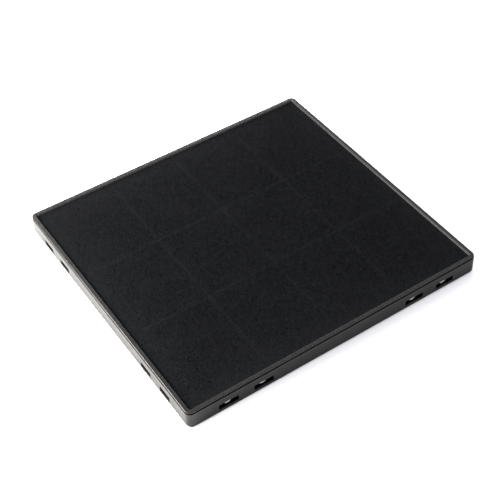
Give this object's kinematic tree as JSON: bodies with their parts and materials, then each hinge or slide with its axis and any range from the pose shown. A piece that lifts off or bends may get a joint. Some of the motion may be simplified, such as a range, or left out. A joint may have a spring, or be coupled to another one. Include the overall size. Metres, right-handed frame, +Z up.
{
  "type": "extractor carbon filter cassette",
  "caption": "Flat rectangular carbon filter cassette: raised frame lip round a ribbed fleece, windows with sprung tongues in its side walls, lift-off cover.",
  "frame": {"origin": "middle of the underside, on the plane that the cassette lies on", "axes": "+X along the longer side, +Y along the shorter side, +Z up through the fleece"},
  "size_m": [0.266, 0.249, 0.0175],
  "materials": {
    "frame_plastic": "fine satin moulding texture",
    "cover_plastic": "satin",
    "fleece": "matt non-woven felt",
    "divider_plastic": "matt",
    "carbon": "loose granules with a slight sparkle",
    "spring_steel": "rolled stainless strip"
  },
  "bodies": {
    "tray": {"tray_frame": "frame_plastic", "lower_fleece": "fleece", "long_divider_1": "divider_plastic", "long_divider_2": "divider_plastic", "long_divider_3": "divider_plastic", "cross_divider_1": "divider_plastic", "cross_divider_2": "divider_plastic", "carbon_bed_1": "carbon", "carbon_bed_2": "carbon", "carbon_bed_3": "carbon", "carbon_bed_4": "carbon", "carbon_bed_5": "carbon", "carbon_bed_6": "carbon", "carbon_bed_7": "carbon", "carbon_bed_8": "carbon", "carbon_bed_9": "carbon", "carbon_bed_10": "carbon", "carbon_bed_11": "carbon", "carbon_bed_12": "carbon"},
    "cover": {"cover_frame": "cover_plastic", "upper_fleece": "fleece"},
    "tongue_1": {"spring_tongue_1": "spring_steel"},
    "tongue_2": {"spring_tongue_2": "spring_steel"},
    "tongue_3": {"spring_tongue_3": "spring_steel"},
    "tongue_4": {"spring_tongue_4": "spring_steel"},
    "tongue_5": {"spring_tongue_5": "spring_steel"},
    "tongue_6": {"spring_tongue_6": "spring_steel"},
    "tongue_7": {"spring_tongue_7": "spring_steel"},
    "tongue_8": {"spring_tongue_8": "spring_steel"},
    "tongue_9": {"spring_tongue_9": "spring_steel"},
    "tongue_10": {"spring_tongue_10": "spring_steel"},
    "tongue_11": {"spring_tongue_11": "spring_steel"},
    "tongue_12": {"spring_tongue_12": "spring_steel"},
    "tongue_13": {"spring_tongue_13": "spring_steel"},
    "tongue_14": {"spring_tongue_14": "spring_steel"},
    "tongue_15": {"spring_tongue_15": "spring_steel"},
    "tongue_16": {"spring_tongue_16": "spring_steel"}
  },
  "joints": [
    {"name": "cover_lift", "type": "slide", "parent": "tray", "child": "cover", "axis": [0, 0, 1], "range_m": [0, 0.03]},
    {"name": "tongue_1_flex", "type": "hinge", "parent": "tray", "child": "tongue_1", "pos_m": [-0.099, -0.1215, 0.0125], "axis": [1, 0, 0], "range_deg": [0, 10], "stiffness_Nm_per_rad": 0.15},
    {"name": "tongue_2_flex", "type": "hinge", "parent": "tray", "child": "tongue_2", "pos_m": [-0.0687, -0.1215, 0.0125], "axis": [1, 0, 0], "range_deg": [0, 10], "stiffness_Nm_per_rad": 0.15},
    {"name": "tongue_3_flex", "type": "hinge", "parent": "tray", "child": "tongue_3", "pos_m": [0.0707, -0.1215, 0.0125], "axis": [1, 0, 0], "range_deg": [0, 10], "stiffness_Nm_per_rad": 0.15},
    {"name": "tongue_4_flex", "type": "hinge", "parent": "tray", "child": "tongue_4", "pos_m": [0.101, -0.1215, 0.0125], "axis": [1, 0, 0], "range_deg": [0, 10], "stiffness_Nm_per_rad": 0.15},
    {"name": "tongue_5_flex", "type": "hinge", "parent": "tray", "child": "tongue_5", "pos_m": [0.13, -0.0915, 0.0125], "axis": [0, 1, 0], "range_deg": [0, 10], "stiffness_Nm_per_rad": 0.15},
    {"name": "tongue_6_flex", "type": "hinge", "parent": "tray", "child": "tongue_6", "pos_m": [0.13, -0.0642, 0.0125], "axis": [0, 1, 0], "range_deg": [0, 10], "stiffness_Nm_per_rad": 0.15},
    {"name": "tongue_7_flex", "type": "hinge", "parent": "tray", "child": "tongue_7", "pos_m": [0.13, 0.0642, 0.0125], "axis": [0, 1, 0], "range_deg": [0, 10], "stiffness_Nm_per_rad": 0.15},
    {"name": "tongue_8_flex", "type": "hinge", "parent": "tray", "child": "tongue_8", "pos_m": [0.13, 0.0915, 0.0125], "axis": [0, 1, 0], "range_deg": [0, 10], "stiffness_Nm_per_rad": 0.15},
    {"name": "tongue_9_flex", "type": "hinge", "parent": "tray", "child": "tongue_9", "pos_m": [0.101, 0.1215, 0.0125], "axis": [-1, 0, 0], "range_deg": [0, 10], "stiffness_Nm_per_rad": 0.15},
    {"name": "tongue_10_flex", "type": "hinge", "parent": "tray", "child": "tongue_10", "pos_m": [0.0707, 0.1215, 0.0125], "axis": [-1, 0, 0], "range_deg": [0, 10], "stiffness_Nm_per_rad": 0.15},
    {"name": "tongue_11_flex", "type": "hinge", "parent": "tray", "child": "tongue_11", "pos_m": [-0.0687, 0.1215, 0.0125], "axis": [-1, 0, 0], "range_deg": [0, 10], "stiffness_Nm_per_rad": 0.15},
    {"name": "tongue_12_flex", "type": "hinge", "parent": "tray", "child": "tongue_12", "pos_m": [-0.099, 0.1215, 0.0125], "axis": [-1, 0, 0], "range_deg": [0, 10], "stiffness_Nm_per_rad": 0.15},
    {"name": "tongue_13_flex", "type": "hinge", "parent": "tray", "child": "tongue_13", "pos_m": [-0.13, 0.0915, 0.0125], "axis": [0, -1, 0], "range_deg": [0, 10], "stiffness_Nm_per_rad": 0.15},
    {"name": "tongue_14_flex", "type": "hinge", "parent": "tray", "child": "tongue_14", "pos_m": [-0.13, 0.0642, 0.0125], "axis": [0, -1, 0], "range_deg": [0, 10], "stiffness_Nm_per_rad": 0.15},
    {"name": "tongue_15_flex", "type": "hinge", "parent": "tray", "child": "tongue_15", "pos_m": [-0.13, -0.0642, 0.0125], "axis": [0, -1, 0], "range_deg": [0, 10], "stiffness_Nm_per_rad": 0.15},
    {"name": "tongue_16_flex", "type": "hinge", "parent": "tray", "child": "tongue_16", "pos_m": [-0.13, -0.0915, 0.0125], "axis": [0, -1, 0], "range_deg": [0, 10], "stiffness_Nm_per_rad": 0.15}
  ]
}
